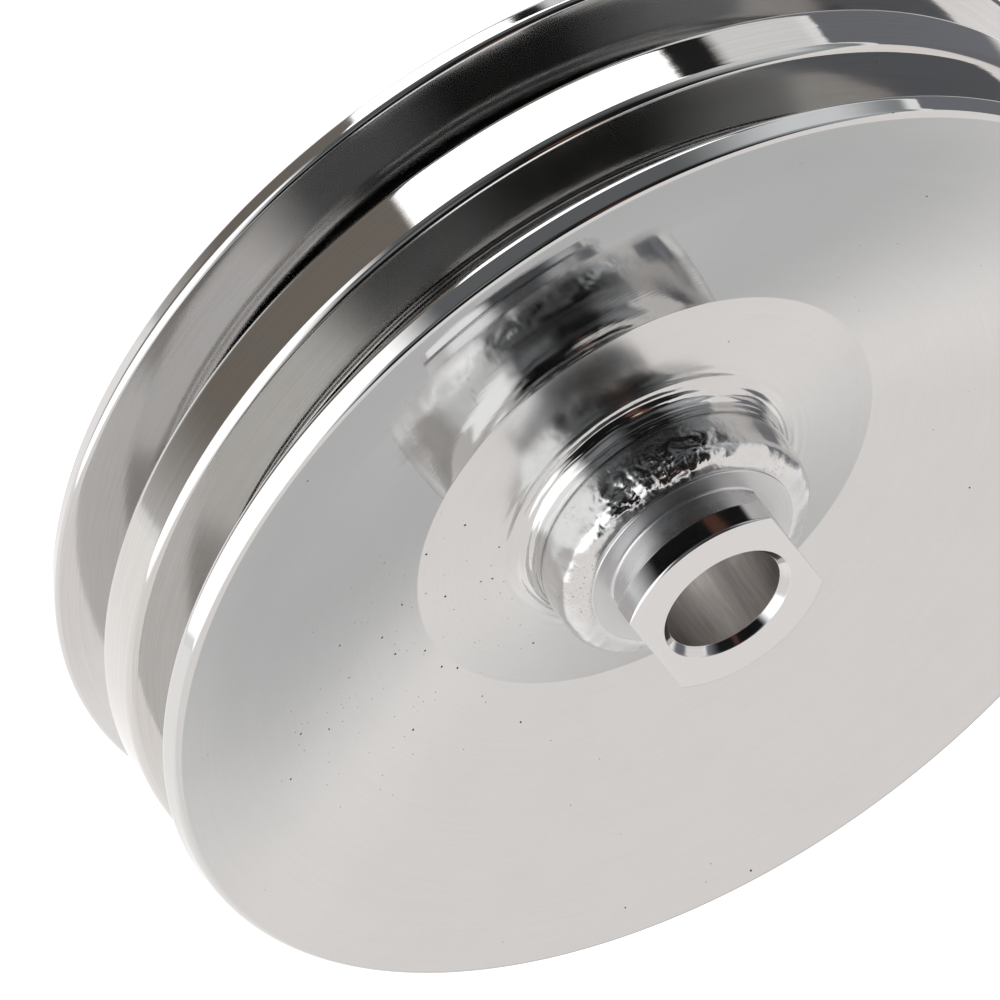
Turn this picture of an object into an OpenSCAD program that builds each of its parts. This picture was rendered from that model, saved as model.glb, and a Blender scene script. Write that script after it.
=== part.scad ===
// Double-groove V-belt drive pulley, chromed steel: three pressed or rolled rings welded round a turned hub.
// Millimetres. The pulley turns about the Y axis, its front (the nose of the hub) faces -Y and +Z is up.
// The origin is on that axis, midway between the two belt grooves and inside the hub's bore.

/* [Rim] */
// Outer diameter over the two outer flanges
rim_od = 174; // [160:1:210]
// How far the flat land between the grooves lies below the outer flanges
land_drop = 1.3; // [0:0.1:4]
// Width of the land, corner to corner
land_w = 8.6; // [7:0.1:14]
// Radius on the land's two corners
land_round = 1.6; // [0.8:0.1:2.2]

/* [Belt grooves] */
// Width of each groove at its top
groove_w = 12; // [10:0.1:16]
// Angle between the two sides of the rear groove; the land's two flanks lean half of it
groove_angle = 36; // [32:1:40]
// Depth of each groove below the outer diameter
groove_depth = 14; // [11:0.5:17]

/* [Sheet steel] */
// Thickness of the front and rear pressings
sheave_t = 3.8; // [2.5:0.1:4.5]
// Thickness of the ring between the grooves
divider_t = 2.4; // [1.6:0.1:2.8]
// Radius on the cut edges of the pressings
edge_round = 1; // [0.4:0.1:1.2]
// Gap between the divider's two feet, which are folded in under the land
foot_gap = 2.4; // [1:0.1:5]
// Inside radius of the bends between the divider's flanks and its feet
foot_bend = 0.4; // [0.2:0.1:1]

/* [Front face] */
// Radius of the crease that rings the middle of the face
crease_r = 38.7; // [33:0.1:46.5]
// Slope of the raised middle, between the hub and the crease
middle_slope = 6; // [3:0.5:12]
// Slope of the bowl where it leaves the crease
bowl_slope = 13.5; // [8:0.5:15]
// Slope of the bowl's wall, where the inner drum is welded behind it
wall_slope = 17; // [15.5:0.5:20]
// Slope of the front flange at the rim; it flares, so it is less than the wall's
flange_slope = 12; // [10:0.5:15]
// Width of the flange's straight part, at the rim
flange_flat = 4; // [2:0.5:6]
// Width of the flare, between that and the wall
flare_w = 13; // [10:0.5:15]
// Radius drawn between the raised middle and its neck
draw_round = 4.3; // [3:0.1:6]
// Radius pressed into the crease
crease_round = 1.2; // [0.6:0.1:3]
// Radius on the two edges at the neck's end
neck_round = 0.6; // [0.2:0.1:1.5]
// Length of the straight neck beyond its drawn radius
neck_l = 1.6; // [1:0.1:4]

/* [Inner drum] */
// Inside radius of the bend between the drum and the foot welded to the face
bend_inside = 1; // [0.5:0.1:2]
// Radius in the corner of the rear groove
groove_round = 2; // [1:0.1:3]
// Width of the drum's foot where it lies flat on the back of the face
drum_foot_w = 10.3; // [8:0.1:13]

/* [Hub] */
// Diameter of the bar that the hub is turned from
hub_d = 34.2; // [32:0.1:40]
// Bore, a press fit on a 3/4 inch shaft
bore_d = 19.05; // [15:0.01:20]
// Length of the hub behind the face pressing
tail_l = 8; // [6:0.1:12]
// Width of the lip that a puller grips
lip_w = 4.2; // [3:0.1:6]
// Width of the groove behind the lip
puller_w = 6.4; // [5:0.1:8]
// Diameter at the bottom of that groove
puller_d = 27; // [26:0.1:30]
// Distance across the two wrench flats on the nose
flats_w = 26.1; // [25:0.1:30]
// Chamfer at the front mouth of the bore
mouth_chamfer = 1.2; // [0.5:0.1:1.8]
// Chamfer at the rear mouth of the bore
tail_chamfer = 1; // [0.5:0.1:1.8]
// Edge break on the hub's outer corners
hub_break = 0.5; // [0.2:0.1:0.8]

/* [Welds] */
// Length of the front bead, from the end of the neck to the hub's collar
front_bead_l = 6.4; // [4:0.1:9]
// Radius on the front bead's outer corner
front_bead_round = 2.6; // [1.5:0.1:3.4]
// How far the front bead's outer corner stops short of the collar's face
front_bead_back = 2.2; // [1:0.1:3]
// How far back the middle of the rear bead's slope stands from the face pressing
rear_bead_crown = 4; // [2:0.1:6]
// How far the rear bead reaches out over the face pressing
rear_bead_w = 8; // [6:0.1:10]
// Length of the rear bead along the hub
rear_bead_l = 5; // [4:0.1:7]
// Diameter of the plug welds
plug_d = 7; // [5:0.1:8]
// Number of plug welds that join the drum's foot to the face
foot_plugs = 12; // [6:1:18]
// Diameter of the plug welds in the divider's feet
divider_plug_d = 4.4; // [3:0.1:4.6]
// Number of plug welds under each foot of the divider
divider_plugs = 8; // [4:1:16]
// Height of a plug weld above the sheet round it
plug_crown = 0.5; // [0.2:0.1:1]
// How far the rear bead stops short of the root of its corner
bead_gap = 0.8; // [0.5:0.1:1]

/* [Hidden] */
$fn = 96;

ARC_STEPS = 8;          // straight steps in a rounded corner of a profile
half_angle = groove_angle / 2;
hole_l = 3 * sheave_t;                 // a punch long enough to pass right through one sheet
past_nose = 1;                         // how far the milling cut for the flats starts ahead of the nose
rim_r = rim_od / 2;
land_r = rim_r - land_drop;
hub_r = hub_d / 2;
floor_r = rim_r - groove_depth;
neck_r = hub_r + sheave_t;
flank_s = land_w / 2 + groove_w;      // where a groove's outer side meets the outer diameter
drum_bend = sheave_t + bend_inside;

// Profiles are lists of [r, s, round]: r is the distance from the axis, s the distance forward along it,
// and round the radius of that corner, which may be left out.

function unit(v) = v / norm(v);
function left_of(v) = [-v.y, v.x];
function at(p) = [p[0], p[1]];

// One corner of a closed outline, as an arc of the corner's own radius
function corner(a, b, c) =
    let (u = unit(at(a) - at(b)), v = unit(at(c) - at(b)), round = len(b) > 2 ? b[2] : 0,
        turn = 180 - acos(max(-1, min(1, u * v))))
    round <= 0 || turn < 0.01 ? [at(b)]
    : let (start = at(b) + round * tan(turn / 2) * u, side = cross(-u, v) > 0 ? 1 : -1,
        centre = start + side * round * left_of(-u), spoke = start - centre)
    [for (i = [0:ARC_STEPS]) let (w = side * turn * i / ARC_STEPS)
        centre + [spoke.x * cos(w) - spoke.y * sin(w), spoke.x * sin(w) + spoke.y * cos(w)]];

function outline(points) =
    let (n = len(points))
    [for (i = [0:n - 1]) each corner(points[(i + n - 1) % n], points[i], points[(i + 1) % n])];

// The other side of a sheet whose first side is path: every corner is moved t to the right of the path
function far_side(path, t) =
    let (n = len(path))
    [for (i = [0:n - 1])
        let (a = i > 0 ? left_of(unit(at(path[i]) - at(path[i - 1]))) : undef,
            b = i < n - 1 ? left_of(unit(at(path[i + 1]) - at(path[i]))) : undef,
            normal = is_undef(a) ? b : is_undef(b) ? a : (a + b) / (1 + a * b),
            bend = is_undef(a) || is_undef(b) ? 0 : cross(a, b) > 0 ? t : -t,
            round = len(path[i]) > 2 ? path[i][2] : 0)
        concat(at(path[i]) - t * normal, bend == 0 ? round : max(0.2, round + bend))];

function reversed(list) = [for (i = [len(list) - 1:-1:0]) list[i]];
function sheet(path, t) = concat(path, reversed(far_side(path, t)));
// Length of each straight side that a rounded bend takes up, and its part along r, from slope a to slope b
function bend_side(r0, r1, a, b) = (r1 - r0) / (cos(a) + cos(b));
function bend_round(side, a, b) = side / tan(abs(b - a) / 2);

module turned(points) rotate([90, 0, 0]) rotate_extrude() polygon(outline(points));

// The drum's foot lies on the back of the bowl's wall, which is straight between these two radii
foot_outer_r = floor_r - drum_bend * tan((90 + wall_slope) / 2) * cos(wall_slope);
foot_ring_r = foot_outer_r - drum_foot_w;

// Front side of the face, from the rim inward: flared flange, wall, bowl, crease and raised middle
rim_face = [rim_r - sheave_t * sin(flange_slope), flank_s + sheave_t * cos(flange_slope)];
flare_end_r = rim_r - flange_flat;
flare_side = bend_side(flare_end_r - flare_w, flare_end_r, wall_slope, flange_slope);
flare_r = flare_end_r - flare_side * cos(flange_slope);
flare_s = rim_face.y - (rim_face.x - flare_r) * tan(flange_slope);
crease_end_r = crease_r + 2 * crease_round * tan((middle_slope + bowl_slope) / 2) * cos(bowl_slope);
bowl_side = bend_side(crease_end_r, foot_ring_r, bowl_slope, wall_slope);
bowl_r = foot_ring_r - bowl_side * cos(wall_slope);
function wall_s(r) = flare_s - (flare_r - r) * tan(wall_slope);
bowl_s = wall_s(bowl_r);
crease_s = bowl_s - (bowl_r - crease_r) * tan(bowl_slope);
middle_s = crease_s + (crease_r - neck_r) * tan(middle_slope);
neck_s = middle_s + draw_round + neck_l;
back_s = middle_s - sheave_t;                   // back of the face pressing, at the hub
collar_s = neck_s + front_bead_l;               // front face of the hub's collar
nose_s = collar_s + puller_w + lip_w;

face_path = [
    [neck_r, neck_s, neck_round],
    [neck_r, middle_s, draw_round],
    [crease_r, crease_s, crease_round],
    [bowl_r, bowl_s, bend_round(bowl_side, bowl_slope, wall_slope)],
    [flare_r, flare_s, bend_round(flare_side, flange_slope, wall_slope)],
    [rim_face.x, rim_face.y, edge_round]];

module face_solid() turned(sheet(face_path, sheave_t));

// A place behind the wall, depth below its front side
function behind_wall(r, depth) = [r, wall_s(r) - depth / cos(wall_slope)];

// Rear flange, drum and foot, on the side of the belts and of the face
rear_path = [
    [rim_r, -flank_s, edge_round],
    [floor_r, -flank_s + groove_depth * tan(half_angle), groove_round],
    concat(behind_wall(floor_r, sheave_t), drum_bend),
    behind_wall(foot_ring_r, sheave_t)];

foot_plug_r = (foot_ring_r + foot_outer_r) / 2;

module round_axis(count, start = 0)
    for (i = [0:count - 1]) rotate([0, start + 360 * i / count, 0]) children();

// Holes for the plug welds: along the axis through the drum's foot, and outward through the drum
module foot_holes()
    round_axis(foot_plugs) translate([foot_plug_r, -wall_s(foot_plug_r), 0]) rotate([-90, 0, 0])
        cylinder(h = hole_l, d = plug_d);

divider_foot_s = land_w / 2 + (land_r - floor_r) * tan(half_angle);
divider_bend = divider_t + foot_bend;
foot_flat_s = divider_foot_s - divider_bend * tan((90 - half_angle) / 2);   // end of the foot's flat side
divider_plug_s = (foot_gap / 2 + foot_flat_s) / 2;

module divider_holes()
    for (side = [-1, 1]) round_axis(divider_plugs, side > 0 ? 180 / divider_plugs : 0)
        translate([floor_r - 2 * sheave_t, side * divider_plug_s, 0]) rotate([0, 90, 0])
            cylinder(h = hole_l, d = divider_plug_d);

// Face pressing: neck round the hub, raised middle, crease, bowl and the front side of the front groove
module front_sheave() {
    color("#d5d4d2") face_solid();
}

// Rear pressing: flange behind the rear groove, drum under both grooves, foot welded to the face
module rear_sheave() {
    color("#c2c1c0") difference() {
        turned(sheet(rear_path, -sheave_t));
        foot_holes();
        divider_holes();
    }
}

// Rolled ring between the grooves: flat land, two flanks and two feet folded in on the drum
module divider_ring() {
    path = [
        [floor_r, foot_gap / 2],
        [floor_r, divider_foot_s, divider_bend],
        [land_r, land_w / 2, land_round],
        [land_r, -land_w / 2, land_round],
        [floor_r, -divider_foot_s, divider_bend],
        [floor_r, -foot_gap / 2]];
    color("#cfcdca") turned(sheet(path, divider_t));
}

// Hub turned from bar: nose lip, puller groove and collar, then a plain barrel through the face
module hub() {
    tail_s = back_s - tail_l;
    color("#dcdcdc") difference() {
        turned([
            [bore_d / 2, tail_s + tail_chamfer],
            [bore_d / 2 + tail_chamfer, tail_s],
            [hub_r, tail_s, hub_break],
            [hub_r, collar_s, hub_break / 2],
            [puller_d / 2, collar_s, hub_break],
            [puller_d / 2, nose_s - lip_w, hub_break],
            [hub_r, nose_s - lip_w, hub_break],
            [hub_r, nose_s, hub_break],
            [bore_d / 2 + mouth_chamfer, nose_s],
            [bore_d / 2, nose_s - mouth_chamfer]]);
        // Wrench flats along the nose, down to the collar's face
        for (side = [0, 180]) rotate([0, side, 0])
            translate([flats_w / 2, -nose_s - past_nose, -hub_r])
                cube([hub_r, nose_s + past_nose - collar_s, hub_d]);
    }
}

// Bead between the end of the neck and the hub's collar
module front_weld_bead() {
    color("#c9c8c6") turned([
        [hub_r, neck_s],
        [neck_r, neck_s],
        [neck_r, collar_s - front_bead_back, front_bead_round],
        [hub_r, collar_s - hub_break / 2]]);
}

// Bead in the corner between the hub's barrel and the back of the face
module rear_weld_bead() {
    color("#a9a8a6") difference() {
        turned([
            [hub_r, middle_s + draw_round - bead_gap],
            [hub_r, back_s - rear_bead_l],
            [hub_r + rear_bead_w / 2, back_s - rear_bead_crown, rear_bead_w],
            [hub_r + rear_bead_w, back_s - bead_gap],
            [hub_r + rear_bead_w, back_s + sheave_t / 2]]);
        face_solid();
    }
}

// Weld metal that fills the holes in the drum's foot, crowned at the back
module foot_plug_welds() {
    color("#b4b2af") intersection() {
        foot_holes();
        turned([for (p = [[-1, 1], [1, 1], [1, 2], [-1, 2]])
            behind_wall(foot_plug_r + p.x * plug_d, p.y * sheave_t + (p.y > 1 ? plug_crown : 0))]);
    }
}

// Weld metal that fills the holes in the drum under the divider's feet
module divider_plug_welds() {
    color("#b4b2af") intersection() {
        divider_holes();
        rotate([90, 0, 0]) rotate_extrude()
            translate([floor_r - sheave_t - plug_crown, -divider_foot_s])
                square([sheave_t + plug_crown, 2 * divider_foot_s]);
    }
}

front_sheave();
rear_sheave();
divider_ring();
hub();
front_weld_bead();
rear_weld_bead();
foot_plug_welds();
divider_plug_welds();
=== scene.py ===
"""Chromed double-groove V-belt pulley: fine skins over the CAD pieces, weld metal, studio and camera.

Metres. The pulley's axis is Y, its front faces -Y and +Z is up. Profiles are written in millimetres as
(r, s): r from the axis, s forward along it, so s = -y.
"""
import math
from functools import reduce

import bmesh
import bpy
import numpy as np
from mathutils import Matrix, Vector, noise


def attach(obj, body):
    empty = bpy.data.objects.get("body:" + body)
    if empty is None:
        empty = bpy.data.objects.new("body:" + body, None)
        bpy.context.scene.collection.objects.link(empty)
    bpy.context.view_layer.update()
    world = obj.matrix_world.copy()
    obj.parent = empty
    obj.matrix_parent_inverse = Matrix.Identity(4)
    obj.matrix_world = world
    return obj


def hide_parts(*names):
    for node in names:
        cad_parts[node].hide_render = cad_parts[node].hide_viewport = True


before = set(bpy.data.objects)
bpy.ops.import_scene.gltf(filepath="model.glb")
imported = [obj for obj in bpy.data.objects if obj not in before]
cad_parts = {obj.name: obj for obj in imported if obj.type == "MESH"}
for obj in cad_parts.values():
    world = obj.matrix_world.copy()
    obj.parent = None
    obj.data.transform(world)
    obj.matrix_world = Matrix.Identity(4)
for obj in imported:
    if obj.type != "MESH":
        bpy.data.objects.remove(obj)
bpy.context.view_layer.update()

MM = 0.001
TAU = 2 * math.pi


# ---------------------------------------------------------------- dimensions, in millimetres, as in the CAD

RIM_R, LAND_R, FLOOR_R = 87.0, 85.7, 73.0
LAND_W, GROOVE_W = 8.6, 12.0
HALF_ANGLE = math.radians(18)
SHEAVE_T, DIVIDER_T = 3.8, 2.4
EDGE_ROUND, LAND_ROUND = 1.0, 1.6
CREASE_R, CREASE_ROUND = 38.7, 1.2
MIDDLE_SLOPE, BOWL_SLOPE, WALL_SLOPE, FLANGE_SLOPE = (math.radians(a) for a in (6, 13.5, 17, 12))
FLANGE_FLAT, FLARE_W, DRAW_ROUND, NECK_L, NECK_ROUND = 4.0, 13.0, 4.3, 1.6, 0.6
BEND_INSIDE, GROOVE_ROUND, DRUM_FOOT_W = 1.0, 2.0, 10.3
FOOT_GAP, FOOT_BEND = 2.4, 0.4
HUB_R, BORE_R, TAIL_L = 17.1, 9.525, 8.0
LIP_W, PULLER_W, PULLER_R, FLATS_HALF = 4.2, 6.4, 13.5, 13.05
MOUTH_CHAMFER, TAIL_CHAMFER, HUB_BREAK = 1.2, 1.0, 0.5
FRONT_BEAD_L, REAR_BEAD_W, REAR_BEAD_L = 6.4, 8.0, 5.0
PLUG_R, FOOT_PLUGS, DIVIDER_PLUG_R, DIVIDER_PLUGS, PLUG_CROWN = 3.5, 12, 2.2, 8, 0.5

NECK_R = HUB_R + SHEAVE_T
FLANK_S = LAND_W / 2 + GROOVE_W
DRUM_BEND = SHEAVE_T + BEND_INSIDE
FOOT_OUTER_R = FLOOR_R - DRUM_BEND * math.tan((math.pi / 2 + WALL_SLOPE) / 2) * math.cos(WALL_SLOPE)
FOOT_RING_R = FOOT_OUTER_R - DRUM_FOOT_W
RIM_FACE = (RIM_R - SHEAVE_T * math.sin(FLANGE_SLOPE), FLANK_S + SHEAVE_T * math.cos(FLANGE_SLOPE))
FLARE_SIDE = FLARE_W / (math.cos(WALL_SLOPE) + math.cos(FLANGE_SLOPE))
FLARE_R = RIM_R - FLANGE_FLAT - FLARE_SIDE * math.cos(FLANGE_SLOPE)
FLARE_S = RIM_FACE[1] - (RIM_FACE[0] - FLARE_R) * math.tan(FLANGE_SLOPE)
CREASE_SIDE = 2 * CREASE_ROUND * math.tan((MIDDLE_SLOPE + BOWL_SLOPE) / 2)
CREASE_END_R = CREASE_R + CREASE_SIDE * math.cos(BOWL_SLOPE)
BOWL_SIDE = (FOOT_RING_R - CREASE_END_R) / (math.cos(BOWL_SLOPE) + math.cos(WALL_SLOPE))
BOWL_R = FOOT_RING_R - BOWL_SIDE * math.cos(WALL_SLOPE)


def wall_s(r):
    return FLARE_S - (FLARE_R - r) * math.tan(WALL_SLOPE)


BOWL_S = wall_s(BOWL_R)
CREASE_S = BOWL_S - (BOWL_R - CREASE_R) * math.tan(BOWL_SLOPE)
MIDDLE_S = CREASE_S + (CREASE_R - NECK_R) * math.tan(MIDDLE_SLOPE)
NECK_S = MIDDLE_S + DRAW_ROUND + NECK_L
BACK_S = MIDDLE_S - SHEAVE_T
COLLAR_S = NECK_S + FRONT_BEAD_L
NOSE_S = COLLAR_S + PULLER_W + LIP_W
TAIL_S = BACK_S - TAIL_L
FOOT_PLUG_R = (FOOT_RING_R + FOOT_OUTER_R) / 2
DIVIDER_FOOT_S = LAND_W / 2 + (LAND_R - FLOOR_R) * math.tan(HALF_ANGLE)
DIVIDER_BEND = DIVIDER_T + FOOT_BEND
FOOT_FLAT_S = DIVIDER_FOOT_S - DIVIDER_BEND * math.tan((math.pi / 2 - HALF_ANGLE) / 2)
DIVIDER_PLUG_S = (FOOT_GAP / 2 + FOOT_FLAT_S) / 2


# ---------------------------------------------------------------- profiles

def unit(v):
    return v / np.hypot(*v)


def cross(a, b):
    return a[0] * b[1] - a[1] * b[0]


# Along a round corner: the coarsest step as an angle and in mm, the fewest steps, and what counts as straight
ARC_STEP, ARC_CHORD, ARC_MIN, NO_TURN = math.radians(4), 1.2, 6, 1e-4


def rounded(points):
    """A closed outline from corners (r, s, round), with each round corner as a fine arc."""
    out = []
    n = len(points)
    for i, p in enumerate(points):
        here = np.array(p[:2], float)
        radius = p[2] if len(p) > 2 else 0.0
        u = unit(np.array(points[i - 1][:2], float) - here)
        v = unit(np.array(points[(i + 1) % n][:2], float) - here)
        turn = math.pi - math.acos(max(-1.0, min(1.0, float(u @ v))))
        if radius <= 0 or turn < NO_TURN:
            out.append(here)
            continue
        start = here + radius * math.tan(turn / 2) * u
        side = 1.0 if cross(-u, v) > 0 else -1.0
        centre = start + side * radius * np.array([u[1], -u[0]])
        spoke = start - centre
        steps = max(ARC_MIN, int(turn / ARC_STEP), int(turn * radius / ARC_CHORD))
        for k in range(steps + 1):
            w = side * turn * k / steps
            out.append(centre + np.array([spoke[0] * math.cos(w) - spoke[1] * math.sin(w),
                                          spoke[0] * math.sin(w) + spoke[1] * math.cos(w)]))
    return supported(out)


# What counts as a long stretch, how near its ends the support points are, and their spacing between
LONG, NEAR_END, SPACING = 0.8, 0.1, 2.5


def supported(points):
    """Long straight stretches get points close to both ends, so smooth shading stays flat along them."""
    out = []
    n = len(points)
    for i, p in enumerate(points):
        out.append(p)
        q = points[(i + 1) % n]
        length = float(np.hypot(*(q - p)))
        if length > LONG:
            near = min(NEAR_END, length / 8)
            parts = max(1, int(length / SPACING))
            ts = [near / length] + [k / parts for k in range(1, parts)] + [1 - near / length]
            out += [p + (q - p) * t for t in ts]
    return out


LEAST_BEND = 0.2      # smallest inside radius of a bend


def far_side(path, t):
    """The other side of a sheet, t to the right of the path."""
    out = []
    n = len(path)
    left = []
    for i in range(n - 1):
        d = unit(np.array(path[i + 1][:2], float) - np.array(path[i][:2], float))
        left.append(np.array([-d[1], d[0]]))
    for i in range(n):
        a = left[i - 1] if i > 0 else None
        b = left[i] if i < n - 1 else None
        normal = b if a is None else a if b is None else (a + b) / (1 + a @ b)
        radius = path[i][2] if len(path[i]) > 2 else 0.0
        if a is not None and b is not None and abs(cross(a, b)) > 1e-9:
            radius = max(LEAST_BEND, radius + (t if cross(a, b) > 0 else -t))
        q = np.array(path[i][:2], float) - t * normal
        out.append((q[0], q[1], radius))
    return out


def sheet(path, t):
    return list(path) + far_side(path, t)[::-1]


FACE_PATH = [
    (NECK_R, NECK_S, NECK_ROUND),
    (NECK_R, MIDDLE_S, DRAW_ROUND),
    (CREASE_R, CREASE_S, CREASE_ROUND),
    (BOWL_R, BOWL_S, BOWL_SIDE / math.tan((WALL_SLOPE - BOWL_SLOPE) / 2)),
    (FLARE_R, FLARE_S, FLARE_SIDE / math.tan((WALL_SLOPE - FLANGE_SLOPE) / 2)),
    (RIM_FACE[0], RIM_FACE[1], EDGE_ROUND)]


def behind_wall(r, depth):
    return (r, wall_s(r) - depth / math.cos(WALL_SLOPE))


REAR_PATH = [
    (RIM_R, -FLANK_S, EDGE_ROUND),
    (FLOOR_R, -FLANK_S + (RIM_R - FLOOR_R) * math.tan(HALF_ANGLE), GROOVE_ROUND),
    (*behind_wall(FLOOR_R, SHEAVE_T), DRUM_BEND),
    behind_wall(FOOT_RING_R, SHEAVE_T)]

DIVIDER_PATH = [
    (FLOOR_R, FOOT_GAP / 2),
    (FLOOR_R, DIVIDER_FOOT_S, DIVIDER_BEND),
    (LAND_R, LAND_W / 2, LAND_ROUND),
    (LAND_R, -LAND_W / 2, LAND_ROUND),
    (FLOOR_R, -DIVIDER_FOOT_S, DIVIDER_BEND),
    (FLOOR_R, -FOOT_GAP / 2)]


# ---------------------------------------------------------------- meshes

SEGMENTS = 360


def add_object(name, vertices, faces):
    mesh = bpy.data.meshes.new(name)
    mesh.from_pydata([tuple(v) for v in vertices], [], faces)
    mesh.update()
    obj = bpy.data.objects.new(name, mesh)
    bpy.context.scene.collection.objects.link(obj)
    return obj


def shade_smooth(obj, angle=35):
    for polygon in obj.data.polygons:
        polygon.use_smooth = True
    obj.data.set_sharp_from_angle(angle=math.radians(angle))


def ring_faces(segments, n):
    """Faces of a closed ring: segments outlines of n points each."""
    faces = []
    for k in range(segments):
        m = (k + 1) % segments
        for i in range(n):
            j = (i + 1) % n
            faces.append((k * n + i, k * n + j, m * n + j, m * n + i))
    return faces


def turned(name, profile, segments=SEGMENTS):
    """A closed outline of (r, s) points turned about the axis."""
    n = len(profile)
    vertices = []
    for k in range(segments):
        w = TAU * k / segments
        for r, s in profile:
            vertices.append((r * math.cos(w) * MM, -s * MM, r * math.sin(w) * MM))
    obj = add_object(name, vertices, ring_faces(segments, n))
    obj.data.validate()
    fix_normals(obj)
    shade_smooth(obj)
    return obj


def fix_normals(obj):
    bm = bmesh.new()
    bm.from_mesh(obj.data)
    bmesh.ops.recalc_face_normals(bm, faces=bm.faces)
    bm.to_mesh(obj.data)
    bm.free()


# ---------------------------------------------------------------- node helper

class Nodes:
    """Short hand for building a node tree."""

    def __init__(self, tree):
        self.tree = tree

    def put(self, socket, value):
        if isinstance(value, bpy.types.NodeSocket):
            self.tree.links.new(value, socket)
        else:
            socket.default_value = value

    def new(self, kind, **settings):
        node = self.tree.nodes.new(kind)
        for key, value in settings.items():
            setattr(node, key, value)
        return node

    def math(self, operation, a, b=0.0):
        node = self.new("ShaderNodeMath", operation=operation)
        for socket, value in zip(node.inputs, (a, b)):
            self.put(socket, value)
        return node.outputs[0]

    def step(self, value, low, high):
        """Zero at low and one at high, whichever is the larger, with a smooth step in between."""
        node = self.new("ShaderNodeMapRange", interpolation_type="SMOOTHSTEP")
        for name, v in (("Value", value), ("From Min", low), ("From Max", high)):
            self.put(node.inputs[name], v)
        return node.outputs["Result"]

    def mix(self, factor, a, b):
        node = self.new("ShaderNodeMix", data_type="RGBA")
        self.put(node.inputs["Factor"], factor)
        self.put(node.inputs["A"], a)
        self.put(node.inputs["B"], b)
        return node.outputs["Result"]

    def sum(self, *values):
        return reduce(lambda a, b: self.math("ADD", a, b), values)

    def times(self, *values):
        return reduce(lambda a, b: self.math("MULTIPLY", a, b), values)

    def minus(self, a, b):
        return self.math("SUBTRACT", a, b)

    def rest_of(self, part):
        return self.minus(1.0, part)

    def distance(self, a, b):
        return self.math("SQRT", self.sum(self.times(a, a), self.times(b, b)))

    def between(self, value, low, high, soft):
        """One from low to high, fading over soft to each side of either end."""
        return self.times(self.step(value, low - soft, low + soft),
                          self.rest_of(self.step(value, high - soft, high + soft)))

    def noise(self, vector, scale=1.0, detail=3.0, rough=0.55, distortion=0.0):
        node = self.new("ShaderNodeTexNoise", noise_dimensions="3D")
        self.put(node.inputs["Vector"], vector)
        settings = {"Scale": scale, "Detail": detail, "Roughness": rough, "Distortion": distortion}
        for name, v in settings.items():
            node.inputs[name].default_value = v
        return node.outputs["Fac"]

    def vector(self, x, y, z):
        node = self.new("ShaderNodeCombineXYZ")
        for socket, value in zip(node.inputs, (x, y, z)):
            self.put(socket, value)
        return node.outputs[0]

    def place(self):
        """Position in mm as a vector, then distance from the axis, distance forward, angle, x and z."""
        scale = self.new("ShaderNodeVectorMath", operation="SCALE")
        self.put(scale.inputs[0], self.new("ShaderNodeTexCoord").outputs["Object"])
        scale.inputs["Scale"].default_value = 1 / MM
        split = self.new("ShaderNodeSeparateXYZ")
        self.put(split.inputs[0], scale.outputs[0])
        x, y, z = split.outputs
        return scale.outputs[0], self.distance(x, z), self.times(y, -1.0), self.math("ARCTAN2", x, z), x, z

    def bump(self, height, distance, strength, under=None):
        node = self.new("ShaderNodeBump")
        node.inputs["Strength"].default_value = strength
        node.inputs["Distance"].default_value = distance
        self.put(node.inputs["Height"], height)
        if under is not None:
            self.put(node.inputs["Normal"], under)
        return node.outputs["Normal"]


# ---------------------------------------------------------------- materials

DIRT = (0.035, 0.03, 0.028, 1)
SOOT = (0.06, 0.045, 0.04, 1)
SATIN_WHITE = (0.66, 0.65, 0.64, 1)
SPECK_X, SPECK_Z = -42.0, 6.0          # where the face's pin holes are thickest, mm
SPECK_FAR, SPECK_NEAR = 34.0, 4.0      # how far from there they thin out, mm
RIPPLE_OUT, RIPPLE_IN = 27.5, 23.0     # where the ripples round the neck's foot fade in, mm from the axis
RIPPLE_PITCH = 3.4                     # radians per mm


def metal(name):
    mat = bpy.data.materials.new(name)
    mat.use_nodes = True
    bsdf = mat.node_tree.nodes["Principled BSDF"]
    bsdf.inputs["Metallic"].default_value = 1.0
    return mat, Nodes(mat.node_tree), bsdf


def dress(n, bsdf, shade, rough, normal):
    for name, value in (("Base Color", shade), ("Roughness", rough), ("Normal", normal)):
        n.put(bsdf.inputs[name], value)


def tinted(tone, tint=(1, 1, 1)):
    return (*(a * b for a, b in zip(tone, tint)), 1)


def around(n, r, s, angle, across, along):
    """Coordinates for marks that run round the axis: fine across them, long along them."""
    return n.vector(n.times(r, across), n.times(s, across), n.times(angle, along))


def pits(n, where, scale, share, zone):
    """Pin holes in the plating: the middles of a few cells only, and only inside the zone."""
    cells = n.new("ShaderNodeTexVoronoi", feature="F1")
    n.put(cells.inputs["Vector"], where)
    cells.inputs["Scale"].default_value = scale
    draw = n.new("ShaderNodeSeparateColor")
    n.put(draw.inputs[0], cells.outputs["Color"])
    spot = n.rest_of(n.step(cells.outputs["Distance"], low=0.06, high=0.13))
    return n.times(spot, n.math("GREATER_THAN", draw.outputs[0], n.rest_of(n.times(zone, share))))


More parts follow.
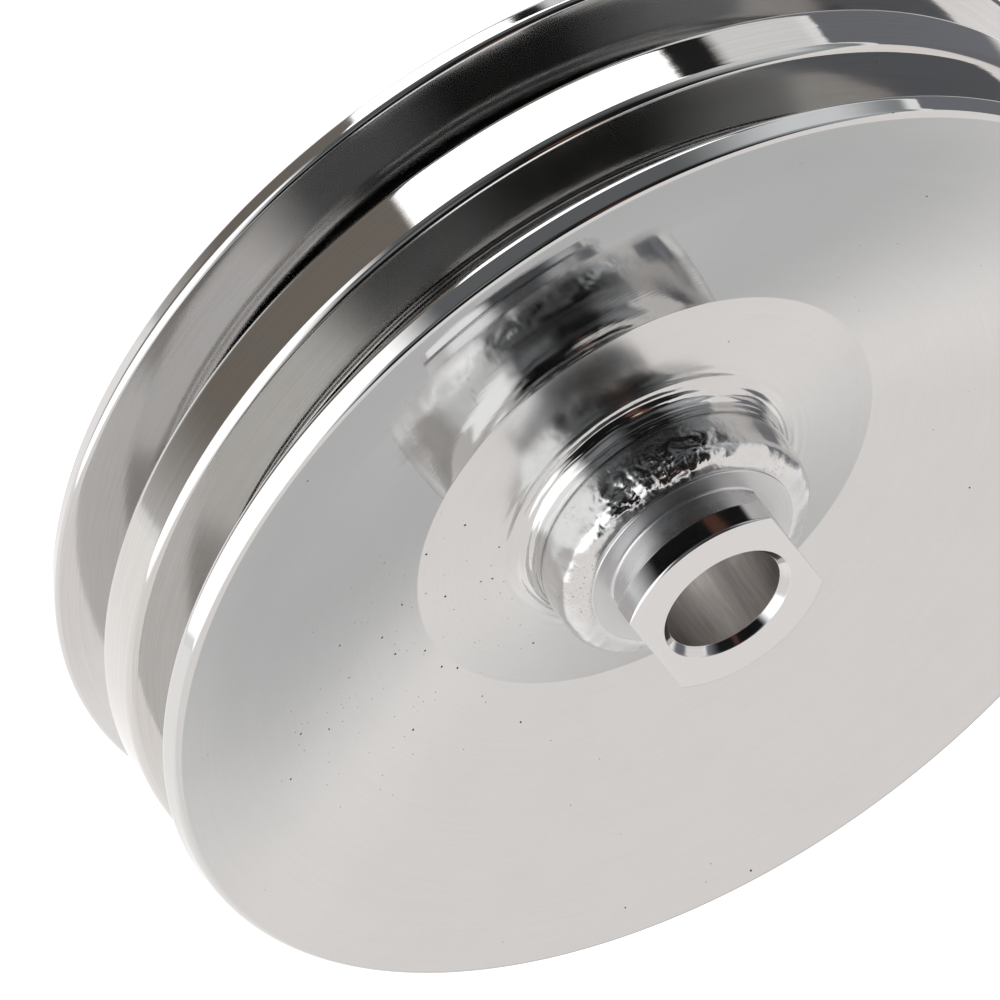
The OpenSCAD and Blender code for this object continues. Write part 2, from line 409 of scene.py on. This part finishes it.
def bright_chrome(name, tone=(0.60, 0.60, 0.595), streaks=1.0, roll=1.0, face=False, flank=0.0):
    """Plated and polished sheet: faint marks round the axis, slow waves and hazy patches.

    face adds what only the front shows: pin holes, ripples round the neck's foot and a satin middle.
    flank is how much duller the sides of the belt grooves are.
    """
    mat, n, bsdf = metal(name)
    where, r, s, angle, x, z = n.place()
    fine = n.noise(around(n, r, s, angle, across=3.2, along=2.6), detail=4.0, rough=0.62)
    broad = n.noise(around(n, r, s, angle, across=0.42, along=1.3), detail=2.0, rough=0.5)
    wave = n.noise(where, scale=0.045, detail=1.0, rough=0.4)
    haze = n.step(n.noise(where, scale=0.11, detail=4.0, rough=0.6), low=0.38, high=0.72)
    grain = n.noise(where, scale=2.2, detail=3.0, rough=0.6)
    rubbed = n.times(n.step(fine, low=0.35, high=0.75), 0.30 * streaks)
    shade = n.mix(rubbed, tinted(tone), tinted(tone, (0.80, 0.79, 0.78)))
    shade = n.mix(n.times(haze, 0.16), shade, tinted(tone, (0.93, 0.90, 0.875)))
    rough = n.sum(0.018, n.times(haze, 0.030), n.times(fine, 0.022 * streaks))
    if flank:
        belt = n.times(n.step(r, low=RIM_R - 0.3, high=RIM_R - 1.5),
                       n.step(r, low=FLOOR_R - 6.0, high=FLOOR_R - 1.0),
                       n.step(s, low=FLANK_S + 1.5, high=FLANK_S))
        rough = n.sum(rough, n.times(belt, flank))
    normal = n.bump(broad, distance=0.00002 * streaks, strength=0.5)
    normal = n.bump(wave, distance=0.00035 * roll, strength=0.35, under=normal)
    normal = n.bump(fine, distance=0.0000035 * streaks, strength=0.6, under=normal)
    normal = n.bump(grain, distance=0.000003, strength=0.35, under=normal)
    if face:
        off = n.distance(n.minus(x, SPECK_X), n.minus(z, SPECK_Z))
        zone = n.sum(0.02, n.step(off, low=SPECK_FAR, high=SPECK_NEAR))
        spots = n.sum(pits(n, where, scale=0.55, share=0.26, zone=zone),
                      pits(n, where, scale=1.3, share=0.20, zone=zone))
        shade = n.mix(n.math("MINIMUM", spots, 1.0), shade, DIRT)
        rough = n.sum(rough, n.times(spots, 0.5))
        normal = n.bump(spots, distance=-0.0002, strength=0.6, under=normal)
        near = n.times(n.step(r, low=RIPPLE_OUT, high=RIPPLE_IN),
                       n.step(s, low=NECK_S + 0.5, high=NECK_S - 1.0))
        wobble = n.noise(around(n, r, s, angle, across=0.25, along=1.8), detail=3.0, rough=0.6)
        ripple = n.math("SINE", n.sum(n.times(n.minus(s, r), RIPPLE_PITCH), n.times(wobble, 5.0)))
        normal = n.bump(n.times(ripple, near), distance=0.00007, strength=0.6, under=normal)
        middle = n.times(n.step(r, low=CREASE_R + 0.4, high=CREASE_R - 0.4),
                         n.step(s, low=NECK_S - 5.0, high=NECK_S - 7.0))
        rough = n.sum(rough, n.times(near, 0.03), n.times(middle, 0.13))
    dress(n, bsdf, shade, rough, normal)
    return mat


def hub_chrome(name):
    """Plated turned steel: polished lip and collar, brushed neck, satin end face and a honed bore."""
    mat, n, bsdf = metal(name)
    where, r, s, angle, _, _ = n.place()
    lathe = n.noise(around(n, r, s, angle, across=5.0, along=0.8), detail=3.0, rough=0.6)
    hone = n.noise(n.vector(n.times(angle, 16.0), n.times(s, 0.12), 0.0), detail=4.0, rough=0.65)
    smudge = n.noise(where, scale=0.22, detail=4.0, rough=0.6)
    end = n.step(s, low=NOSE_S - 0.25, high=NOSE_S - 0.05)
    neck_end = NOSE_S - LIP_W
    neck = n.times(n.step(s, low=neck_end + 0.1, high=neck_end - 0.1),
                   n.step(s, low=COLLAR_S - 0.2, high=COLLAR_S + 0.1))
    collar = n.times(n.step(s, low=COLLAR_S + 0.12, high=COLLAR_S + 0.02),
                     n.step(s, low=COLLAR_S - 0.3, high=COLLAR_S - 0.1))
    bore = n.step(r, low=BORE_R + 0.12, high=BORE_R + 0.02)
    tail = n.step(s, low=TAIL_S + 1.5, high=TAIL_S + 0.5)
    turned_marks = n.times(n.step(lathe, low=0.35, high=0.75), 0.35)
    shade = n.mix(turned_marks, (0.60, 0.60, 0.605, 1), (0.47, 0.47, 0.48, 1))
    shade = n.mix(n.times(end, n.sum(0.55, n.times(smudge, 0.4))), shade, SATIN_WHITE)
    honed = n.mix(n.step(hone, low=0.3, high=0.75), (0.66, 0.64, 0.625, 1), (0.52, 0.495, 0.48, 1))
    shade = n.mix(bore, shade, honed)
    duller = ((lathe, 0.02), (end, 0.15), (neck, 0.20), (collar, 0.14), (bore, 0.26), (tail, 0.2),
              (smudge, 0.05))
    rough = n.sum(0.035, *(n.times(part, share) for part, share in duller))
    cut = n.sum(n.times(lathe, n.sum(0.25, neck, collar, n.times(end, 0.3))), n.times(hone, bore, 1.4))
    dress(n, bsdf, shade, n.math("MINIMUM", rough, 0.42), n.bump(cut, distance=0.00002, strength=0.45))
    return mat


def weld_metal(name, tone, rough_low, dull):
    """Plated weld: bright where it is smooth, and sooty in patches. dull is how sooty, up to 1."""
    mat, n, bsdf = metal(name)
    where = n.place()[0]
    blotch = n.noise(where, scale=0.55, detail=5.0, rough=0.65, distortion=0.6)
    crust = n.noise(where, scale=2.6, detail=5.0, rough=0.7, distortion=0.4)
    patch = n.step(n.noise(where, scale=0.16, detail=2.0, rough=0.5), low=0.50, high=0.62)
    soot = n.times(n.step(crust, low=0.56, high=0.70), patch, dull)
    dim = n.times(n.step(blotch, low=0.45, high=0.7), 0.25)
    shade = n.mix(soot, n.mix(dim, tinted(tone), tinted(tone, (0.8, 0.78, 0.76))), SOOT)
    rough = n.sum(rough_low, n.times(n.step(blotch, low=0.4, high=0.75), 0.08), n.times(soot, 0.4))
    normal = n.bump(blotch, distance=0.0001, strength=0.4)
    dress(n, bsdf, shade, rough, n.bump(crust, distance=0.00004, strength=0.35 + 0.3 * dull, under=normal))
    return mat


FACE = bright_chrome("face_chrome", streaks=0.4, roll=0.8, face=True, flank=0.12)
REAR = bright_chrome("rear_chrome", tone=(0.585, 0.58, 0.58), flank=0.07)
LAND = bright_chrome("land_chrome", tone=(0.60, 0.592, 0.58), streaks=1.5)
HUB = hub_chrome("hub_chrome")
WELD = weld_metal("weld_chrome", (0.62, 0.62, 0.62), rough_low=0.04, dull=0.9)
BACK_WELD = weld_metal("rear_weld", (0.48, 0.475, 0.47), rough_low=0.16, dull=1.0)
PLUG = weld_metal("plug_weld", (0.46, 0.455, 0.45), rough_low=0.2, dull=0.8)


# ---------------------------------------------------------------- pieces

def piece(obj, material, slot, *nodes):
    obj.data.materials.append(material)
    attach(obj, "root")
    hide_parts(*nodes)


piece(turned("face_pressing", rounded(sheet(FACE_PATH, SHEAVE_T))), FACE, "face_chrome", "front_sheave")
piece(turned("rear_pressing", rounded(sheet(REAR_PATH, -SHEAVE_T))), REAR, "rear_chrome", "rear_sheave")
piece(turned("land_ring", rounded(sheet(DIVIDER_PATH, DIVIDER_T))), LAND, "land_chrome", "divider_ring")

HUB_OUTLINE = [
    (BORE_R, TAIL_S + TAIL_CHAMFER),
    (BORE_R + TAIL_CHAMFER, TAIL_S),
    (HUB_R, TAIL_S, HUB_BREAK),
    (HUB_R, COLLAR_S, HUB_BREAK / 2),
    (PULLER_R, COLLAR_S, HUB_BREAK),
    (PULLER_R, NOSE_S - LIP_W, HUB_BREAK),
    (HUB_R, NOSE_S - LIP_W, HUB_BREAK),
    (HUB_R, NOSE_S, HUB_BREAK),
    (BORE_R + MOUTH_CHAMFER, NOSE_S),
    (BORE_R, NOSE_S - MOUTH_CHAMFER)]


# How far the milling cut for the flats reaches past the hub: at the side, in front, and above and below
CUT_SIDE, CUT_AHEAD, CUT_ABOVE = 4.0, 2.0, 3.0
HUB_SEGMENTS, HUB_BEVEL = 288, 0.22


def cut_flats(obj):
    """Mill the two wrench flats: a boolean with a block at each side, as deep as the collar's face."""
    for side in (1, -1):
        x0, x1 = sorted((side * FLATS_HALF * MM, side * (HUB_R + CUT_SIDE) * MM))
        y0, y1 = -(NOSE_S + CUT_AHEAD) * MM, -COLLAR_S * MM
        z = (HUB_R + CUT_ABOVE) * MM
        corners = [(x, y, k) for x in (x0, x1) for y in (y0, y1) for k in (-z, z)]
        faces = [(0, 1, 3, 2), (4, 6, 7, 5), (0, 4, 5, 1), (2, 3, 7, 6), (0, 2, 6, 4), (1, 5, 7, 3)]
        cutter = add_object("cutter", corners, faces)
        fix_normals(cutter)
        m = obj.modifiers.new("flat", "BOOLEAN")
        m.object, m.operation, m.solver = cutter, "DIFFERENCE", "EXACT"
        bpy.context.view_layer.objects.active = obj
        bpy.ops.object.modifier_apply(modifier=m.name)
        bpy.data.objects.remove(cutter)


hub = turned("turned_hub", rounded(HUB_OUTLINE), segments=HUB_SEGMENTS)
cut_flats(hub)
bevel = hub.modifiers.new("edges", "BEVEL")
bevel.width, bevel.segments = HUB_BEVEL * MM, 3
bevel.limit_method, bevel.angle_limit = "ANGLE", math.radians(50)
bpy.context.view_layer.objects.active = hub
bpy.ops.object.modifier_apply(modifier=bevel.name)
shade_smooth(hub, 32)
piece(hub, HUB, "hub_chrome", "hub")


# ---------------------------------------------------------------- weld metal

CURVE_PARTS = 20      # straight pieces between two of a curve's given points


def spline(points, count):
    """Points spread evenly along a smooth curve through the given ones."""
    pts = [np.array(p, float) for p in points]
    pts = [2 * pts[0] - pts[1]] + pts + [2 * pts[-1] - pts[-2]]
    fine = []
    for a, b, c, d in zip(pts, pts[1:], pts[2:], pts[3:]):
        for k in range(CURVE_PARTS):
            t = k / CURVE_PARTS
            fine.append(0.5 * (2 * b + (c - a) * t + (2 * a - 5 * b + 4 * c - d) * t * t
                               + (3 * b - 3 * c + d - a) * t ** 3))
    fine.append(pts[-2])
    length = [0.0]
    for a, b in zip(fine, fine[1:]):
        length.append(length[-1] + float(np.hypot(*(b - a))))
    out, k = [], 0
    for i in range(count):
        want = length[-1] * i / (count - 1)
        while k < len(fine) - 2 and length[k + 1] < want:
            k += 1
        f = (want - length[k]) / (length[k + 1] - length[k])
        out.append(fine[k] + (fine[k + 1] - fine[k]) * min(1.0, max(0.0, f)))
    return out


# Where round the axis the beads' roughest stretch is, half its length in radians, and how craggy the rest is
CRAGGY_AT, CRAGGY_SPREAD, CALM = math.radians(82), 0.5, 0.02
# Sizes of the features, as noise frequencies per mm
SLOW_F, BEND_F, WHERE_F, LUMP_F, CRUST_F = 0.16, 0.10, 0.09, 0.24, 0.42


def bead_push(at, w, across, swell, ripple, blob, crust, passes, seed):
    """How far a bead's skin stands out: slow swells, ripples left by each pass, lumps and crags."""
    slow = noise.noise(at * SLOW_F + Vector((seed, 0, 0)))
    bend = noise.noise(at * BEND_F + Vector((0, seed, 0)))
    wave = 1 - 2 * abs(math.sin(passes * w + 7.0 * (across - 0.5) ** 2 + 3.52 * bend)) ** 1.4
    where = 0.5 + 0.5 * noise.noise(at * WHERE_F + Vector((2 * seed, seed, 0)))
    lump = noise.noise(at * LUMP_F + Vector((seed, seed, 0)))
    rough = noise.turbulence(at * CRUST_F + Vector((0, 0, seed)), 2, True) - 0.8
    craggy = CALM + math.exp(-((w - CRAGGY_AT) / CRAGGY_SPREAD) ** 2)
    return (swell * slow + ripple * wave * (0.35 + 0.65 * where) + blob * lump
            + crust * rough * craggy * min(1.0, 2.0 * across))


def lumpy_bead(name, skin, inner, count, segments, **lumps):
    """A closed ring of weld metal: the skin side is lumpy, the inner side is hidden in its corner."""
    outer = spline(skin, count)
    normals = []
    for i in range(count):
        d = unit(outer[min(i + 1, count - 1)] - outer[max(i - 1, 0)])
        normals.append(np.array([-d[1], d[0]]))
    if sum(float(m @ (p - np.mean(inner, axis=0))) for m, p in zip(normals, outer)) < 0:
        normals = [-m for m in normals]
    vertices = []
    for k in range(segments):
        w = TAU * k / segments
        c, sn = math.cos(w), math.sin(w)
        outline = []
        for i, (p, m) in enumerate(zip(outer, normals)):
            across = i / count
            fade = min(1.0, 4.0 * across, 4.0 * (count - 1 - i) / count)
            fade *= 0.3 + 0.7 * min(1.0, 1.6 * across)
            at = Vector((p[0] * c, p[1], p[0] * sn))
            outline.append(p + m * fade * bead_push(at, w, across, **lumps))
        for r, s in outline + list(inner):
            vertices.append((r * c * MM, -s * MM, r * sn * MM))
    obj = add_object(name, vertices, ring_faces(segments, count + len(inner)))
    fix_normals(obj)
    shade_smooth(obj, 70)
    return obj


front_bead = lumpy_bead(
    "front_bead",
    skin=[(NECK_R - 0.05, NECK_S - 2.6), (NECK_R + 0.35, NECK_S - 1.6), (NECK_R + 0.5, NECK_S),
          (NECK_R + 0.45, NECK_S + 2.2), (NECK_R + 0.05, COLLAR_S - 2.0), (NECK_R - 1.2, COLLAR_S - 0.75),
          (HUB_R + 1.0, COLLAR_S - 0.2), (HUB_R - 0.1, COLLAR_S - 0.22)],
    inner=[(HUB_R - 0.2, NECK_S + 0.1), (NECK_R - 0.3, NECK_S + 0.1), (NECK_R - 0.3, NECK_S - 2.6)],
    count=64, segments=900, swell=0.5, ripple=0.03, blob=0.2, crust=0.6, passes=19, seed=3.7)
piece(front_bead, WELD, "weld_chrome", "front_weld_bead")

rear_bead = lumpy_bead(
    "rear_bead",
    skin=[(HUB_R - 0.1, BACK_S - REAR_BEAD_L), (HUB_R + 1.4, BACK_S - REAR_BEAD_L + 0.5),
          (HUB_R + 4.0, BACK_S - REAR_BEAD_L * 0.62), (HUB_R + 6.4, BACK_S - 1.5),
          (HUB_R + REAR_BEAD_W, BACK_S + 0.1)],
    inner=[(HUB_R + REAR_BEAD_W, BACK_S + 1.2), (HUB_R + 1.6, BACK_S + 1.2), (HUB_R - 0.2, BACK_S + 2.0)],
    count=48, segments=640, swell=0.4, ripple=0.22, blob=0.15, crust=0.22, passes=34, seed=9.1)
piece(rear_bead, BACK_WELD, "rear_weld", "rear_weld_bead")

PLUG_RINGS, PLUG_SIDES = 9, 40


def plugs(name, places, radius, height, depth, seed):
    """Crowned plugs of weld metal, one at each place (a matrix whose local +Z points out of the sheet)."""
    vertices, faces = [], []
    sides = [TAU * k / PLUG_SIDES for k in range(PLUG_SIDES)]
    following = [(k + 1) % PLUG_SIDES for k in range(PLUG_SIDES)]
    for number, matrix in enumerate(places):
        base = len(vertices)

        def add(x, y, z):
            vertices.append(matrix @ Vector((x * MM, y * MM, z * MM)))

        add(0, 0, height)
        for t in (i / PLUG_RINGS for i in range(1, PLUG_RINGS + 1)):
            for w in sides:
                r = radius * t * (1 + 0.035 * t * math.sin(3 * w + number * 1.7 + seed))
                x, y = r * math.cos(w), r * math.sin(w)
                lumps = 0.14 * (1 - t ** 6) * noise.noise(Vector((x, y, seed + 5.0 * number)) * 0.7)
                ripples = 0.07 * math.sin(5.5 * r) * (1 - t ** 4)
                add(x, y, max(height * (1 - t ** 3.2) + lumps + ripples, -0.05))
        for w in sides:
            add(radius * math.cos(w), radius * math.sin(w), -depth)
        first = base + 1
        faces += [(base, first + k, first + m) for k, m in enumerate(following)]
        for a in range(first, first + PLUG_RINGS * PLUG_SIDES, PLUG_SIDES):
            b = a + PLUG_SIDES
            faces += [(a + k, b + k, b + m, a + m) for k, m in enumerate(following)]
        last = first + PLUG_RINGS * PLUG_SIDES
        faces.append(tuple(range(last, last + PLUG_SIDES)))
    obj = add_object(name, vertices, faces)
    fix_normals(obj)
    shade_smooth(obj, 50)
    return obj


def looking(origin, out, side):
    """A frame at origin whose +Z is out."""
    z = Vector(out).normalized()
    x = Vector(side).cross(z).normalized()
    return Matrix.Translation(origin) @ Matrix((x, z.cross(x), z)).transposed().to_4x4()


PLUG_DEPTH = 0.9 * SHEAVE_T      # plugs stop just short of the sheet's far side
AXIS = Vector((0, 1, 0))

foot_places = []
for i in range(FOOT_PLUGS):
    w = TAU * i / FOOT_PLUGS
    e = Vector((math.sin(w), 0, math.cos(w)))
    r, s = behind_wall(FOOT_PLUG_R, 2 * SHEAVE_T)
    out = e * math.sin(WALL_SLOPE) + AXIS * math.cos(WALL_SLOPE)
    foot_places.append(looking((e * r - AXIS * s) * MM, out, e.cross(AXIS)))
foot = plugs("foot_plugs", foot_places, PLUG_R, PLUG_CROWN, PLUG_DEPTH, seed=2.0)
piece(foot, PLUG, "plug_weld", "foot_plug_welds")

drum_places = []
for side in (-1, 1):
    for i in range(DIVIDER_PLUGS):
        w = TAU * (i + (0.5 if side > 0 else 0)) / DIVIDER_PLUGS
        e = Vector((math.cos(w), 0, -math.sin(w)))
        at = e * (FLOOR_R - SHEAVE_T) + AXIS * side * DIVIDER_PLUG_S
        drum_places.append(looking(at * MM, -e, AXIS))
drum = plugs("divider_plugs", drum_places, DIVIDER_PLUG_R, PLUG_CROWN * 0.9, PLUG_DEPTH, seed=6.0)
piece(drum, PLUG, "plug_weld", "divider_plug_welds")

scene = bpy.context.scene


# ---------------------------------------------------------------- camera

# Turns off the pulley's axis, round it, and about the line of sight
TILT, SPIN, ROLL = (math.radians(a) for a in (55.70, 2.4, 54.24))
# Metres across the frame at the pulley, and metres to it
VIEW_WIDTH, VIEW_DISTANCE = 0.14877, 3.111
# How far the pulley's origin is right of the frame's middle and above it, in frame widths
OFF_RIGHT, OFF_UP = 0.1232, 0.03955


def studio_camera():
    """A long lens that looks down at the face from above."""
    back = Vector((math.sin(TILT) * math.sin(SPIN), -math.cos(TILT), math.sin(TILT) * math.cos(SPIN)))
    along = (-AXIS + back * AXIS.dot(back)).normalized()
    across = along.cross(back)
    right = along * math.cos(ROLL) - across * math.sin(ROLL)
    up = -along * math.sin(ROLL) - across * math.cos(ROLL)
    target = -(right * OFF_RIGHT + up * OFF_UP) * VIEW_WIDTH
    data = bpy.data.cameras.new("camera")
    data.lens = VIEW_DISTANCE * data.sensor_width / VIEW_WIDTH
    data.clip_end = 50
    cam = bpy.data.objects.new("camera", data)
    scene.collection.objects.link(cam)
    turn = Matrix((right, up, back)).transposed().to_4x4()
    cam.matrix_world = Matrix.Translation(target + back * VIEW_DISTANCE) @ turn
    scene.camera = cam


studio_camera()


# ---------------------------------------------------------------- studio

def gray(v, warm=0.0):
    return (v * (1 + warm), v, v * (1 - warm), 1)


def layers(n, colour, *tops):
    """The colour, with each (mask, top) laid over it in turn."""
    for mask, top in tops:
        colour = n.mix(mask, colour, top)
    return colour


LAMP, CARD, ROOM = gray(2.4), gray(1.9), gray(0.010)
PALE_WALL, HORIZON, BENCH = gray(0.95), gray(1.1), gray(1.2)
BROWN = (0.16, 0.075, 0.05, 1)


def studio_world():
    """A white tent with one large lamp behind, and the dark of the room round the camera.

    Split by height along the pulley's axis, y, and then by bearing round it, in degrees from straight up.
    """
    world = bpy.data.worlds.new("studio")
    world.use_nodes = True
    scene.world = world
    n = Nodes(world.node_tree)
    split = n.new("ShaderNodeSeparateXYZ")
    n.put(split.inputs[0], n.new("ShaderNodeTexCoord").outputs["Generated"])
    x, y, z = split.outputs
    bearing = n.math("DEGREES", n.math("ARCTAN2", x, z))
    behind = layers(
        n, gray(0.80, 0.015),
        (n.step(bearing, low=-104, high=-58), gray(0.20, 0.12)),
        (n.between(bearing, -4, 58, soft=1.2), LAMP),
        (n.between(bearing, 58, 67, soft=1.0), gray(0.02)),
        (n.step(bearing, low=66, high=70), PALE_WALL))
    level = layers(
        n, PALE_WALL,
        (n.step(bearing, low=-118, high=-92), CARD),
        (n.step(bearing, low=-24, high=-8), gray(0.16, -0.04)),
        (n.step(bearing, low=40, high=66), gray(0.9, -0.02)),
        (n.step(bearing, low=74, high=88), gray(0.34, -0.04)))
    patch = n.times(n.between(x, 0.26, 0.36, soft=0.03), n.step(y, low=-0.78, high=-0.84))
    front = layers(
        n, ROOM,
        (n.step(y, low=-0.80, high=-0.70), gray(0.26, -0.04)),
        (n.step(x, low=-0.02, high=0.30), gray(0.015)),
        (n.step(y, low=-0.58, high=-0.34), gray(0.08, -0.02)),
        (patch, BROWN),
        (n.step(x, low=-0.28, high=-0.54), CARD),
        (n.step(x, low=0.60, high=0.90), gray(0.5, -0.03)),
        (n.step(z, low=0.07, high=0.0), BENCH))
    sky = layers(
        n, front,
        (n.step(y, low=-0.24, high=-0.14), level),
        (n.step(y, low=0.44, high=0.50), behind),
        (n.step(z, low=0.02, high=-0.02), HORIZON))
    n.put(world.node_tree.nodes["Background"].inputs["Color"], sky)


FLOOR_SIZE, FLOOR_Z = 12.0, -0.6                  # metres
# The painted shadow on the floor below the face: its middle, and where its fading out starts and ends
PAINTED_SHADOW_Y, PAINTED_SHADOW_NEAR, PAINTED_SHADOW_FAR = -0.12, 0.03, 0.42
PAPER, DARK_PAPER = (0.5, 0.5, 0.5, 1), (0.26, 0.27, 0.30, 1)


def studio_floor():
    """Pale paper that glows with painted light: a painted shadow straight below the face, painted warmer
    light in front, and darker paper without glow well out to the right.
    """
    a = FLOOR_SIZE
    corners = [(-a, -a, FLOOR_Z), (a, -a, FLOOR_Z), (a, a, FLOOR_Z), (-a, a, FLOOR_Z)]
    obj = add_object("floor", corners, [(0, 1, 2, 3)])
    mat = bpy.data.materials.new("floor")
    mat.use_nodes = True
    n = Nodes(mat.node_tree)
    bsdf = mat.node_tree.nodes["Principled BSDF"]
    split = n.new("ShaderNodeSeparateXYZ")
    n.put(split.inputs[0], n.new("ShaderNodeTexCoord").outputs["Object"])
    x, y, _ = split.outputs
    off = n.distance(x, n.minus(y, PAINTED_SHADOW_Y))
    beside = n.times(n.step(x, low=0.42, high=0.60), n.step(y, low=-0.60, high=-0.40))
    # The floor's glow is painted light: dimmest straight below the face as a painted shadow, dimmer and
    # warmer in front, and none on the dark patch to the right
    painted_glow = layers(
        n, (0.24, 0.24, 0.245, 1),
        (n.step(off, low=PAINTED_SHADOW_NEAR, high=PAINTED_SHADOW_FAR), (0.80, 0.775, 0.76, 1)),
        (n.step(y, low=-0.22, high=-0.60), (0.66, 0.615, 0.595, 1)),
        (beside, (0.0, 0.0, 0.0, 1)))
    n.put(bsdf.inputs["Base Color"], n.mix(beside, PAPER, DARK_PAPER))
    n.put(bsdf.inputs["Emission Color"], painted_glow)
    bsdf.inputs["Emission Strength"].default_value = 1.0
    bsdf.inputs["Roughness"].default_value = 0.9
    bsdf.inputs["Specular IOR Level"].default_value = 0.0
    obj.data.materials.append(mat)


studio_world()
studio_floor()
scene.view_settings.view_transform = "Standard"
